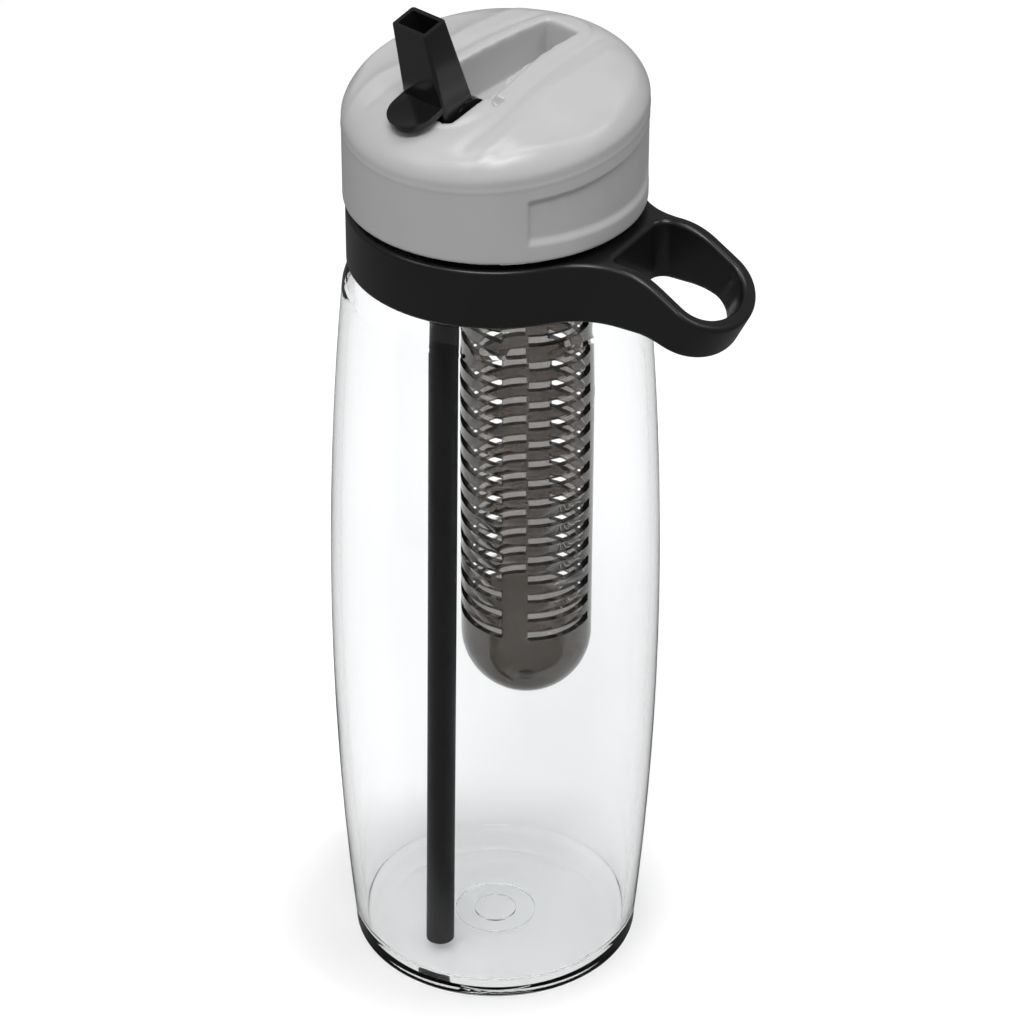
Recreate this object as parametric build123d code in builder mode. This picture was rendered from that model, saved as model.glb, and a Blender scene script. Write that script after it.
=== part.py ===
"""Drinking bottle with a flip-up spout, a straw, a hanging fruit basket and a carry loop.

The origin is at the middle of the standing face and +Z is up. The lid's slot runs along X,
so the spout swings in the XZ plane and its hinge lies along Y. All sizes are in millimetres.
"""
import os
from math import asin, atan2, cos, degrees, hypot, radians, sin, tan

from build123d import *

os.makedirs("parts", exist_ok=True)

# Shared values
cut_overrun = 6.0
running_gap = 0.35
seat_gap = 0.3
half = 0.5
half_turn = 180
right_angle = 90
sharp_angle = 50

# Bottle: a barrel on a round standing ring, a shoulder with a ledge, and a neck
foot_radius = 37.8
foot_height = 3.5
foot_round = 3.0
standing_width = 5.8
belly_bulge = 4.8
belly_height = 100.0
shoulder_draw_in = 4.4
shoulder_height = 197.0
ledge_draw_in = 3.6
ledge_width = 1.6
ledge_rise = 7.0
bottle_wall = 2.4
base_thickness = 4.2
floor_corner = 3.0
push_up = 1.6
gate_ring_radius = 10.8
gate_ring_inner_radius = 5.6
gate_ring_depth = 0.6
neck_wall = 3.3
neck_blend = 2.0
neck_ring_zone = 17.8
thread_step = 1.1
neck_height = 33.5
rim_round = 0.7

# Carry loop: a ring that turns on the neck, and a finger loop that droops from it
ring_wall = 3.55
ring_height = 16.0
loop_angle = -77.0
loop_droop = 33.0
loop_under_droop = 28.0
loop_lean = 27.0
loop_half_width = 16.0
loop_level_length = 12.1
loop_arm_length = 12.5
loop_tip_length = 12.5
loop_bottom_lag = 3.5
loop_wall = 3.7
loop_bend_radius = 18.0
loop_web = 2.4
loop_arm_blend = 18.0
loop_overlap = 2.5
hole_corner_round = 3.0
loop_edge_round = 1.3

# Lid: a straight skirt under a sloping crowned top
lid_thread_room = 2.1
lid_gap = 2.0
lid_wall = 2.4
lid_lip_round = 0.6
crease_rise = 4.6
lid_slope = 7.9
shoulder_width = 13.0
shoulder_rise = 9.5
shoulder_end_angle = 78.0
cheek_inset = 19.0
cheek_slope = 13.5
cheek_sink = 0.35
cheek_lap = 6.0
spine_far_half_width = 9.0
spine_near_half_width = 11.5
spine_rise = 0.7
spine_near_reach = -28.5
spine_far_reach = 29.5
grip_centre_angle = 85.0
grip_span_angle = 78.0
grip_height = 11.0
grip_rise = 7.2
grip_depth = 0.7
slot_far_reach = 23.7
slot_far_half_width = 5.1
slot_near_half_width = 7.3
slot_mouth_reach = -5.0
slot_near_rise = 3.3
slot_far_rise = 7.9
trough_wall = 2.2
slot_corner = 0.8
pocket_corner = 2.6
pocket_near_reach = -24.9
pocket_half_width = 8.4

# Spout: a flat tube on a drum with two trunnions and a thumb tab
hinge_reach = -15.5
hinge_rise = 8.3
drum_radius = 6.0
drum_half_length = 7.4
trunnion_radius = 1.9
trunnion_length = 1.6
spout_lean = 16.0
spout_offset = 2.4
spout_length = 29.3
spout_tip_width = 11.0
spout_tip_depth = 7.5
spout_base_width = 14.7
spout_base_depth = 10.4
spout_wall = 1.1
spout_edge_round = 0.8
spout_bore_radius = 2.1
spout_funnel = 9.0
tab_reach = 19.9
tab_root_reach = 6.0
tab_width = 12.9
tab_thickness = 1.7
tab_height = 10.3
tab_droop = 20.0
tab_dish_radius = 26.0
tab_dish_depth = 0.68

# Inner plug of the lid, its seals and the air valve
gasket_height = 1.8
gasket_inset = 1.0
plug_flange = 2.0
plug_flange_gap = 0.7
plug_skirt_gap = 0.4
plug_skirt_wall = 1.8
plug_skirt_length = 5.0
socket_wall = 1.8
socket_length = 13.0
nozzle_fit = 0.1
nozzle_bore_radius = 2.0
nozzle_length = 11.0
seal_rise = 4.0
seal_half_length = 5.2
seal_half_width = 6.0
seal_corner = 1.5
valve_offset = 14.0
valve_cap_radius = 4.2
valve_cap_thickness = 1.0
valve_stem_radius = 1.4
valve_bulb_radius = 2.1

# Straw: push-fitted on the plug's nozzle, leaning out towards the wall
straw_radius = 3.7
straw_wall = 0.6
straw_top_reach = -17.5
straw_tip_reach = -21.2
straw_tip_gap = 0.7

# Fruit basket: a slotted tube with a round bottom
basket_radius = 17.25
basket_side_gap = 0.65
basket_wall = 1.6
basket_length = 167.6
basket_nub_radius = 2.2
basket_nub_height = 0.8
slot_first_rise = 24.8
slot_row_pitch = 5.76
slot_row_count = 20
slot_height = 2.6
slot_columns = 4
rib_angle = 23.0
rib_turn = -57.0


def tilted(origin, direction_degrees, slope_degrees):
    """Plane at origin whose X points along a compass direction and climbs by a slope."""
    turn = radians(direction_degrees)
    climb = radians(slope_degrees)
    along = (cos(turn) * cos(climb), sin(turn) * cos(climb), sin(climb))
    normal = (-cos(turn) * sin(climb), -sin(turn) * sin(climb), cos(climb))
    return Plane(origin=origin, x_dir=along, z_dir=normal)


def upright(plane):
    """Plane that stands on another: the same X, and the other's normal as its Y."""
    return Plane(origin=plane.origin, x_dir=plane.x_dir, z_dir=-plane.y_dir)


def sharp_edges(shape, least_degrees):
    """Edges where two faces meet at more than an angle."""
    chosen = []
    for edge in shape.edges():
        sides = [face for face in shape.faces() if any(edge.is_same(other) for other in face.edges())]
        if len(sides) == 2:
            normals = [face.normal_at(edge @ half) for face in sides]
            if normals[0].get_angle(normals[1]) > least_degrees:
                chosen.append(edge)
    return chosen


def wedge(start_degrees, span_degrees, reach):
    """Three corners of a sector cutter that opens from the axis."""
    angles = (radians(start_degrees), radians(start_degrees + span_degrees))
    return [(0, 0)] + [(reach * cos(angle), reach * sin(angle)) for angle in angles]


# Bottle
standing_radius = foot_radius - foot_round
standing_inner_radius = standing_radius - standing_width
belly_radius = foot_radius + belly_bulge
shoulder_radius = belly_radius - shoulder_draw_in
ledge_radius = shoulder_radius - ledge_draw_in
neck_radius = ledge_radius - ledge_width
neck_bore_radius = neck_radius - neck_wall
thread_root_radius = neck_radius - thread_step
ledge_height = shoulder_height + ledge_rise
neck_top = ledge_height + neck_height
neck_floor = ledge_height + neck_blend
belly_inner = belly_radius - bottle_wall
shoulder_inner = shoulder_radius - bottle_wall
foot_inner = foot_radius - bottle_wall
neck_mouth = (neck_bore_radius, neck_top)
thread_zone_start = ledge_height + neck_ring_zone

with BuildPart() as bottle_shell:
    with BuildSketch(Plane.XZ):
        with BuildLine():
            Line((0, push_up), (gate_ring_radius, push_up))
            TangentArc((gate_ring_radius, push_up), (standing_inner_radius, 0), tangent=(1, 0))
            Line((standing_inner_radius, 0), (standing_radius, 0))
            TangentArc((standing_radius, 0), (foot_radius, foot_height), tangent=(1, 0))
            belly = ThreePointArc(
                (foot_radius, foot_height),
                (belly_radius, belly_height),
                (shoulder_radius, shoulder_height),
            )
            TangentArc(belly @ 1, (ledge_radius, ledge_height), tangent=belly % 1)
            Line((ledge_radius, ledge_height), (neck_radius, ledge_height))
            Line((neck_radius, ledge_height), (neck_radius, thread_zone_start))
            Line((neck_radius, thread_zone_start), (thread_root_radius, thread_zone_start + thread_step))
            Line((thread_root_radius, thread_zone_start + thread_step), (thread_root_radius, neck_top))
            Line((thread_root_radius, neck_top), neck_mouth)
            Line(neck_mouth, (neck_bore_radius, neck_floor))
            inner_belly = ThreePointArc(
                (foot_inner, base_thickness + floor_corner),
                (belly_inner, belly_height),
                (shoulder_inner, shoulder_height),
            )
            TangentArc(inner_belly @ 1, (neck_bore_radius, neck_floor), tangent=inner_belly % 1)
            TangentArc(
                inner_belly @ 0,
                (foot_inner - floor_corner, base_thickness),
                tangent=(inner_belly % 0) * -1,
            )
            Line((foot_inner - floor_corner, base_thickness), (0, base_thickness))
            Line((0, base_thickness), (0, push_up))
        make_face()
    revolve(axis=Axis.Z)
    with BuildSketch(Plane.XY):
        Circle(gate_ring_radius)
        Circle(gate_ring_inner_radius, mode=Mode.SUBTRACT)
    extrude(amount=push_up + gate_ring_depth, mode=Mode.SUBTRACT)
    fillet(bottle_shell.edges().filter_by(GeomType.CIRCLE).group_by(Axis.Z)[-1], rim_round)
bottle_shell.part.label = "bottle_shell"

# Carry loop
ring_inner_radius = neck_radius + running_gap
ring_radius = ring_inner_radius + ring_wall
ring_bottom = ledge_height + running_gap
ring_top = ring_bottom + ring_height
loop_bend_start = ring_radius + loop_level_length
loop_bottom_start = loop_bend_start + loop_bottom_lag
tip_start = loop_arm_length
compass = radians(loop_angle)
loop_bend = (loop_bend_start * cos(compass), loop_bend_start * sin(compass), ring_top)
level_plane = tilted((0, 0, ring_top), loop_angle, 0)
drooping_plane = tilted(loop_bend, loop_angle, -loop_lean)
side_plane = upright(tilted((0, 0, 0), loop_angle, 0))
level_end = loop_bend_start + loop_overlap
loop_end = loop_bend_start + loop_arm_length + loop_tip_length + cut_overrun
top_end = (loop_end, ring_top - (loop_end - loop_bend_start) * tan(radians(loop_droop)))
bottom_end = (loop_end, ring_bottom - (loop_end - loop_bottom_start) * tan(radians(loop_under_droop)))


def loop_body(side_inset, root_reach):
    """Plan of the finger loop or of its hole: level by the ring, leaning at the tip."""
    half_width = loop_half_width - side_inset
    with BuildPart() as walls:
        with BuildSketch(level_plane) as level_outline:
            with Locations(((root_reach + level_end) * half, 0)):
                Rectangle(level_end - root_reach, half_width + half_width)
            if side_inset:
                fillet(level_outline.vertices().group_by(Axis.X)[0], hole_corner_round)
            else:
                Circle(ring_radius)
                fillet(level_outline.vertices().group_by(Axis.X)[0], loop_arm_blend)
        extrude(amount=ring_height + ring_height, both=True)
        with BuildSketch(drooping_plane):
            with Locations(((tip_start + loop_overlap) * half, 0)):
                Rectangle(tip_start - loop_overlap, half_width + half_width)
            with Locations((tip_start, 0)):
                Ellipse(loop_tip_length - side_inset, half_width)
        extrude(amount=ring_height + ring_height, both=True)
    return walls.part


with BuildPart() as carry_loop:
    with BuildSketch(side_plane):
        with BuildLine():
            Polyline(
                (0, ring_bottom),
                (0, ring_top),
                (loop_bend_start, ring_top),
                top_end,
                bottom_end,
                (loop_bottom_start, ring_bottom),
                close=True,
            )
        profile = make_face()
        bends = [
            profile.vertices().sort_by_distance((*corner, 0))[0]
            for corner in ((loop_bend_start, ring_top), (loop_bottom_start, ring_bottom))
        ]
        fillet(bends, loop_bend_radius)
    extrude(amount=ring_radius + cut_overrun, both=True)
    add(loop_body(0, 0), mode=Mode.INTERSECT)
    with BuildSketch(Plane.XY.offset(ring_bottom)):
        Circle(ring_radius)
    extrude(amount=ring_height)
    add(loop_body(loop_wall, ring_radius + loop_web), mode=Mode.SUBTRACT)
    with BuildSketch(Plane.XY.offset(ring_bottom)):
        Circle(ring_inner_radius)
    extrude(amount=ring_height, mode=Mode.SUBTRACT)
    outer_edges = [
        edge
        for edge in sharp_edges(carry_loop.part, sharp_angle)
        if hypot((edge @ half).X, (edge @ half).Y) > ring_inner_radius + ring_wall * half
    ]
    fillet(outer_edges, loop_edge_round)
carry_loop.part.label = "carry_loop"

# Lid
lid_bottom = ring_top + lid_gap
lid_inner_radius = neck_radius + lid_thread_room
lid_radius = lid_inner_radius + lid_wall
deck_height = neck_top + gasket_height + plug_flange
crease_height = deck_height + crease_rise
slot_near_floor = deck_height + slot_near_rise
slot_far_floor = deck_height + slot_far_rise
hinge_height = deck_height + hinge_rise
crown_radius = lid_radius / cos(radians(lid_slope))
shoulder_centre = crown_radius - shoulder_width
shoulder_end = radians(shoulder_end_angle)
crown_turn = atan2(shoulder_rise * cos(shoulder_end), shoulder_width * sin(shoulder_end))
crown_edge = shoulder_centre + shoulder_width * cos(shoulder_end)
crown_arc_radius = crown_edge / sin(crown_turn)
crown_height = shoulder_rise * sin(shoulder_end) + crown_arc_radius * (1 - cos(crown_turn))
plug_top = deck_height
cheek_turn = radians(cheek_slope)
cheek_height = crown_height - crown_arc_radius + (crown_arc_radius**2 - cheek_inset**2) ** half - cheek_sink
crown_plane = tilted((0, 0, crease_height), 0, lid_slope)
hinge_plane = Plane(origin=(hinge_reach, 0, hinge_height), x_dir=(1, 0, 0), z_dir=(0, -1, 0))




def crown_point(reach, inset):
    """Point of the crown's arc at a distance from the tilted axis."""
    arc_radius = crown_arc_radius - inset
    return (reach, crown_height - crown_arc_radius + (arc_radius**2 - reach**2) ** half)


def crown(inset):
    """Sloping lid top as a solid of revolution about the tilted axis, set in by a wall."""
    with BuildPart() as dome:
        with BuildSketch(upright(crown_plane)):
            with BuildLine():
                Polyline(
                    (0, -crease_height),
                    (crown_radius + crown_radius, -crease_height),
                    (crown_radius + crown_radius, 0),
                    (crown_radius - inset, 0),
                )
                shoulder = EllipticalCenterArc(
                    (shoulder_centre, 0),
                    shoulder_width - inset,
                    shoulder_rise - inset,
                    arc_size=shoulder_end_angle,
                )
                ThreePointArc(
                    shoulder @ 1,
                    crown_point(shoulder_centre * half, inset),
                    (0, crown_height - inset),
                )
                Line((0, crown_height - inset), (0, -crease_height))
            make_face()
        revolve(axis=Axis(crown_plane.origin, crown_plane.z_dir))
    return dome.part


def slot_outline(margin):
    """Outline of the spout's trough seen from above, with a margin for its walls."""
    with BuildSketch(Plane.XY.offset(deck_height), mode=Mode.PRIVATE) as outline:
        with BuildLine():
            Polyline(
                (pocket_near_reach - margin, -pocket_half_width - margin),
                (slot_mouth_reach + margin, -pocket_half_width - margin),
                (slot_mouth_reach + margin, -slot_near_half_width - margin),
                (slot_far_reach + margin, -slot_far_half_width - margin),
                (slot_far_reach + margin, slot_far_half_width + margin),
                (slot_mouth_reach + margin, slot_near_half_width + margin),
                (slot_mouth_reach + margin, pocket_half_width + margin),
                (pocket_near_reach - margin, pocket_half_width + margin),
                close=True,
            )
        make_face()
    return outline.sketch


with BuildPart() as trough:
    with BuildSketch(Plane.XZ):
        Polygon(
            (pocket_near_reach, plug_top),
            (slot_mouth_reach, plug_top),
            (slot_mouth_reach, slot_near_floor),
            (slot_far_reach, slot_far_floor),
            (slot_far_reach, crease_height + lid_radius),
            (pocket_near_reach, crease_height + lid_radius),
            align=None,
        )
    extrude(amount=lid_radius, both=True)
    add(extrude(slot_outline(0), amount=lid_radius, mode=Mode.PRIVATE), mode=Mode.INTERSECT)
    corners = trough.edges().filter_by(Axis.Z).group_by(Axis.X)
    fillet(corners[-1], slot_corner)
    fillet(trough.edges().filter_by(Axis.Z).group_by(Axis.X)[0], pocket_corner)
trough.part.label = "trough"

with BuildPart() as lid_cavity:
    with BuildSketch(Plane.XY.offset(lid_bottom)):
        Circle(lid_inner_radius)
    extrude(amount=crease_height)
    add(crown(lid_wall), mode=Mode.INTERSECT)
    add(
        extrude(slot_outline(trough_wall), amount=lid_radius, mode=Mode.PRIVATE),
        mode=Mode.SUBTRACT,
    )
    with BuildSketch(Plane.XY.offset(lid_bottom)):
        Circle(lid_inner_radius)
    extrude(amount=plug_top + seat_gap - lid_bottom)
lid_cavity.part.label = "lid_cavity"

with BuildPart() as spine:
    with BuildSketch(Plane.XY.offset(crease_height)):
        with Locations((spine_near_reach + spine_near_half_width, 0)):
            Circle(spine_near_half_width)
        with Locations((spine_far_reach - spine_far_half_width, 0)):
            Circle(spine_far_half_width)
        make_hull()
    extrude(amount=lid_radius)
    add(crown(-spine_rise), mode=Mode.INTERSECT)
spine.part.label = "spine"

with BuildPart() as lid_cap:
    with BuildSketch(Plane.XY.offset(lid_bottom)):
        Circle(lid_radius)
    extrude(amount=crease_height)
    add(crown(0), mode=Mode.INTERSECT)
    for side in (-1, 1):
        cheek = Plane(
            origin=crown_plane.from_local_coords((0, side * cheek_inset, cheek_height)),
            x_dir=crown_plane.x_dir,
            z_dir=crown_plane.from_local_coords((0, side * sin(cheek_turn), cos(cheek_turn)))
            - crown_plane.origin,
        )
        with BuildSketch(cheek):
            with Locations((0, side * (lid_radius - cheek_lap))):
                Rectangle(lid_radius + lid_radius, lid_radius + lid_radius)
        extrude(amount=lid_radius, mode=Mode.SUBTRACT)
    add(spine.part)
    add(trough.part, mode=Mode.SUBTRACT)
    add(lid_cavity.part, mode=Mode.SUBTRACT)
    with BuildSketch(hinge_plane):
        Circle(trunnion_radius + seat_gap)
    extrude(amount=drum_half_length + trunnion_length + seat_gap, both=True, mode=Mode.SUBTRACT)
    for side in (-1, 1):
        with BuildSketch(Plane.XY.offset(lid_bottom + grip_rise)):
            Circle(lid_radius + cut_overrun)
            Circle(lid_radius - grip_depth, mode=Mode.SUBTRACT)
            with BuildLine():
                start = side * grip_centre_angle - grip_span_angle * half
                Polyline(wedge(start, grip_span_angle, lid_radius * 2), close=True)
            make_face(mode=Mode.INTERSECT)
        extrude(amount=grip_height, mode=Mode.SUBTRACT)
    lip = lid_cap.edges().group_by(Axis.Z)[0]
    fillet(lip.sort_by(Edge.length)[-1], lid_lip_round)
lid_cap.part.label = "lid_cap"

# Inner plug: a flange on the gasket, a skirt in the neck, the basket's socket and the nozzle
basket_reach = neck_bore_radius - basket_radius - basket_side_gap
gasket_bottom = neck_top
plug_bottom = gasket_bottom + gasket_height
plug_skirt_radius = neck_bore_radius - plug_skirt_gap
straw_tip_height = base_thickness + straw_tip_gap
plug_flange_radius = lid_inner_radius - plug_flange_gap
gasket_radius = plug_flange_radius - gasket_inset
straw_lean = degrees(atan2(straw_top_reach - straw_tip_reach, plug_bottom - straw_tip_height))
straw_line = Plane(
    origin=(straw_top_reach, 0, plug_bottom),
    x_dir=(cos(radians(straw_lean)), 0, -sin(radians(straw_lean))),
    z_dir=(sin(radians(straw_lean)), 0, cos(radians(straw_lean))),
)
socket_radius = basket_radius - basket_wall - running_gap
straw_end = (plug_bottom - straw_tip_height) / cos(radians(straw_lean))
nozzle_radius = straw_radius - straw_wall - nozzle_fit

with BuildPart() as lid_gasket:
    with BuildSketch(Plane.XY.offset(gasket_bottom)):
        Circle(gasket_radius)
        Circle(plug_skirt_radius + seat_gap, mode=Mode.SUBTRACT)
    extrude(amount=gasket_height)
lid_gasket.part.label = "lid_gasket"

with BuildPart() as inner_plug:
    with BuildSketch(Plane.XY.offset(plug_bottom)):
        Circle(plug_flange_radius)
    extrude(amount=plug_flange)
    with BuildSketch(Plane.XY.offset(plug_bottom)):
        Circle(plug_skirt_radius)
        Circle(plug_skirt_radius - plug_skirt_wall, mode=Mode.SUBTRACT)
        with Locations((basket_reach, 0)):
            Circle(basket_radius + running_gap, mode=Mode.SUBTRACT)
    extrude(amount=-gasket_height - plug_skirt_length)
    with BuildSketch(Plane.XY.offset(plug_bottom)):
        with Locations((basket_reach, 0)):
            Circle(socket_radius)
    extrude(amount=-socket_length)
    with BuildSketch(Plane.XY.offset(plug_bottom)):
        with Locations((basket_reach, 0)):
            Circle(socket_radius - socket_wall)
    extrude(amount=-socket_length, mode=Mode.SUBTRACT)
    with BuildSketch(straw_line):
        Circle(nozzle_radius)
    extrude(amount=-nozzle_length)
    with BuildSketch(straw_line.offset(plug_flange + cut_overrun)):
        Circle(nozzle_bore_radius)
    extrude(amount=-nozzle_length - plug_flange - cut_overrun - cut_overrun, mode=Mode.SUBTRACT)
    with BuildSketch(Plane.XY.offset(plug_bottom)):
        with Locations((straw_top_reach, valve_offset)):
            Circle(valve_stem_radius + seat_gap)
    extrude(amount=plug_flange, mode=Mode.SUBTRACT)
inner_plug.part.label = "inner_plug"

# Air valve: a silicone mushroom that snaps into the plug
with BuildPart() as vent_valve:
    with BuildSketch(Plane.XY.offset(plug_top)):
        with Locations((straw_top_reach, valve_offset)):
            Circle(valve_bulb_radius)
    extrude(amount=valve_cap_thickness)
    with BuildSketch(Plane.XY.offset(plug_top)):
        with Locations((straw_top_reach, valve_offset)):
            Circle(valve_stem_radius)
    extrude(amount=-plug_flange - seat_gap)
    with BuildSketch(Plane.XY.offset(plug_bottom - seat_gap)):
        with Locations((straw_top_reach, valve_offset)):
            Circle(valve_cap_radius)
    extrude(amount=-valve_cap_thickness)
vent_valve.part.label = "vent_valve"

# Straw
with BuildPart() as straw:
    with BuildSketch(straw_line.offset(-seat_gap)):
        Circle(straw_radius)
        Circle(straw_radius - straw_wall, mode=Mode.SUBTRACT)
    extrude(amount=seat_gap - straw_end)
straw.part.label = "straw"

# Fruit basket: slots between four upright ribs, closed by a round bottom
basket_inner_radius = basket_radius - basket_wall
basket_top = plug_bottom - seat_gap
basket_bottom = basket_top - basket_length
slot_row_first = basket_bottom + slot_first_rise
dome_centre = basket_bottom + basket_nub_height + basket_radius

with BuildPart() as infuser_basket:
    with BuildSketch(Plane.XZ):
        with BuildLine():
            Line((0, dome_centre - basket_radius), (0, dome_centre - basket_inner_radius))
            CenterArc((0, dome_centre), basket_inner_radius, -right_angle, right_angle)
            Line((basket_inner_radius, dome_centre), (basket_inner_radius, basket_top))
            Line((basket_inner_radius, basket_top), (basket_radius, basket_top))
            Line((basket_radius, basket_top), (basket_radius, dome_centre))
            CenterArc((0, dome_centre), basket_radius, -right_angle, right_angle)
        make_face()
    revolve(axis=Axis.Z)
    with BuildSketch(Plane.XY.offset(basket_bottom)):
        Circle(basket_nub_radius)
    extrude(amount=basket_nub_height + basket_wall * half)
    column_angle = 2 * half_turn / slot_columns
    for row in range(slot_row_count):
        with BuildSketch(Plane.XY.offset(slot_row_first + row * slot_row_pitch)):
            for column in range(slot_columns):
                start = rib_turn + rib_angle * half + column * column_angle
                with BuildLine():
                    Polyline(wedge(start, column_angle - rib_angle, basket_radius * 2), close=True)
                make_face()
            Circle(basket_inner_radius - cut_overrun * half, mode=Mode.SUBTRACT)
        extrude(amount=slot_height, mode=Mode.SUBTRACT)
infuser_basket.part.label = "infuser_basket"
infuser_basket.part.position = (basket_reach, 0, 0)

# Spout: drum, trunnions, flat tube, thumb tab and a bent bore
lean = radians(spout_lean)
tube_axis = (-sin(lean), 0, cos(lean))
across = (cos(lean), 0, sin(lean))
tube_root = Plane(
    origin=(hinge_reach - spout_offset * cos(lean), 0, hinge_height - spout_offset * sin(lean)),
    x_dir=across,
    z_dir=tube_axis,
)
tube_tip = tube_root.offset(spout_length)
port_top = tube_root.origin
port_bottom = Vector(straw_top_reach, 0, hinge_height - drum_radius - seat_gap)
tab_face = tilted((hinge_reach, 0, hinge_height + tab_height), half_turn, -tab_droop)
tab_end = tab_reach - tab_width * half
dish_centre = tab_face.from_local_coords((tab_end, 0, tab_dish_radius - tab_dish_depth))
dish_plane = Plane(origin=dish_centre, x_dir=(0, 1, 0), z_dir=tab_face.x_dir)

with BuildPart() as mouthpiece:
    with BuildSketch(hinge_plane):
        Circle(drum_radius)
    extrude(amount=drum_half_length, both=True)
    with BuildSketch(hinge_plane):
        Circle(trunnion_radius)
    extrude(amount=drum_half_length + trunnion_length, both=True)
    with BuildSketch(tab_face):
        with Locations((tab_end, 0)):
            Circle(tab_width * half)
        with Locations(((tab_root_reach + tab_end) * half, 0)):
            Rectangle(tab_end - tab_root_reach, tab_width)
    extrude(amount=-tab_thickness)
    with BuildSketch(dish_plane):
        with BuildLine():
            CenterArc((0, 0), tab_dish_radius, half_turn, half_turn)
            Line((-tab_dish_radius, 0), (tab_dish_radius, 0))
        make_face()
    revolve(axis=Axis(dish_plane.origin, dish_plane.x_dir), mode=Mode.SUBTRACT)
    with BuildSketch(tube_root):
        RectangleRounded(spout_base_depth, spout_base_width, spout_edge_round)
    with BuildSketch(tube_tip):
        RectangleRounded(spout_tip_depth, spout_tip_width, spout_edge_round)
    loft()
    with BuildSketch(tube_tip):
        RectangleRounded(
            spout_tip_depth - spout_wall - spout_wall,
            spout_tip_width - spout_wall - spout_wall,
            spout_edge_round * half,
        )
    with BuildSketch(tube_tip.offset(-spout_funnel)):
        RectangleRounded(spout_bore_radius * 2, spout_bore_radius * 2, spout_edge_round)
    loft(mode=Mode.SUBTRACT)
    with BuildSketch(tube_root):
        Circle(spout_bore_radius)
    extrude(amount=spout_length - spout_funnel * half, mode=Mode.SUBTRACT)
    port_length = (port_bottom - port_top).length
    with BuildSketch(Plane(origin=port_top, x_dir=(0, 1, 0), z_dir=port_bottom - port_top)):
        Circle(spout_bore_radius)
    extrude(amount=port_length + drum_radius, mode=Mode.SUBTRACT)
mouthpiece.part.label = "mouthpiece"

# Silicone seat under the drum, with the flow hole
with BuildPart() as spout_seal:
    with BuildSketch(Plane.XY.offset(plug_top)):
        with Locations((hinge_reach, 0)):
            RectangleRounded(seal_half_length * 2, seal_half_width * 2, seal_corner)
    extrude(amount=seal_rise)
    with BuildSketch(hinge_plane):
        Circle(drum_radius + seat_gap)
    extrude(amount=lid_radius, both=True, mode=Mode.SUBTRACT)
    with BuildSketch(Plane.XY.offset(plug_top)):
        with Locations((straw_top_reach, 0)):
            Circle(nozzle_bore_radius)
    extrude(amount=seal_rise, mode=Mode.SUBTRACT)
spout_seal.part.label = "spout_seal"

pieces = (
    bottle_shell,
    carry_loop,
    lid_cap,
    lid_gasket,
    inner_plug,
    vent_valve,
    spout_seal,
    mouthpiece,
    straw,
    infuser_basket,
)
for piece in pieces:
    export_step(piece.part, f"parts/{piece.part.label}.step")
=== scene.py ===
"""Finishes, screw threads, lid relief, stage and camera for a drinking bottle with a fruit basket."""
from math import cos, log, pi, radians, sin, tau

import bmesh
import bpy
import numpy as np
from bpy.props import FloatProperty, FloatVectorProperty, IntProperty, PointerProperty
from bpy.types import Operator, Panel, PropertyGroup
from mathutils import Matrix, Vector


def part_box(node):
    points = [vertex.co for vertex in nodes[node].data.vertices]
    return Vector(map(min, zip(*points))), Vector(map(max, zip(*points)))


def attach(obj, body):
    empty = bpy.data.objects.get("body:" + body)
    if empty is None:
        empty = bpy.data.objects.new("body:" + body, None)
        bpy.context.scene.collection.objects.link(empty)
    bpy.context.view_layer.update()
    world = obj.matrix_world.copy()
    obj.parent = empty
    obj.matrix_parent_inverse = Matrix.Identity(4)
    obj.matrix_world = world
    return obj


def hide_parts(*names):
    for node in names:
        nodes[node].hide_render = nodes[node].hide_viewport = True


bl_info = {
    "name": "Infuser bottle",
    "version": (1, 0, 0),
    "blender": (4, 5, 0),
    "location": "3D View > Sidebar > Bottle",
    "description": "Dresses the packed bottle and sets it on a pale studio stage",
    "category": "Object",
}

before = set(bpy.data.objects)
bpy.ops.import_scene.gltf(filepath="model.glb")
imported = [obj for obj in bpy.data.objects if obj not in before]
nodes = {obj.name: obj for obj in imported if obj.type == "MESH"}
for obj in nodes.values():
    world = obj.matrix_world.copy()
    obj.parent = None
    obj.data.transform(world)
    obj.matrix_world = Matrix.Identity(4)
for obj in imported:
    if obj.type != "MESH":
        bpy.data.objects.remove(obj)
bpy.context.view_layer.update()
MM = 0.001
SHARP_ANGLE = 35
NOISE_LOW = 0.3
NOISE_HIGH = 0.7

# Lines on the lid, in millimetres along and across the slot
SLOT_REACH = (-26, -5, 23.7)
SLOT_HALF_WIDTH = (8.4, 7.8, 5.1)
VALLEY_REACH = (-25.1, -19.8, -13.8, -6.4, 3.4, 15.8, 23.1)
VALLEY_OFFSET = (16.1, 16.4, 15.7, 14.3, 12.8, 11.2, 9.9)
RIDGE_REACH = (-26.6, -21.9, -14.8, -7.8, 1.9, 12.8, 23.4)
RIDGE_OFFSET = (21.6, 22.1, 21.5, 20.2, 18.5, 17.3, 16.4)
FOLD_WIDTH = 1.7
BROW_REACH = 34.2
RIM_REACH = 0.6
RIM_WIDTH = 2.2
BANK_REACH = 3.6
BANK_WIDTH = 1.6
NOTCH_APEX = (-11.2, 9.6)
NOTCH_SLOPES = (1.6, 1.35)
NOTCH_FADE = 0.4
LEDGE_REACH = (-9.5, 10)
LEDGE_FADE = 0.5

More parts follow.
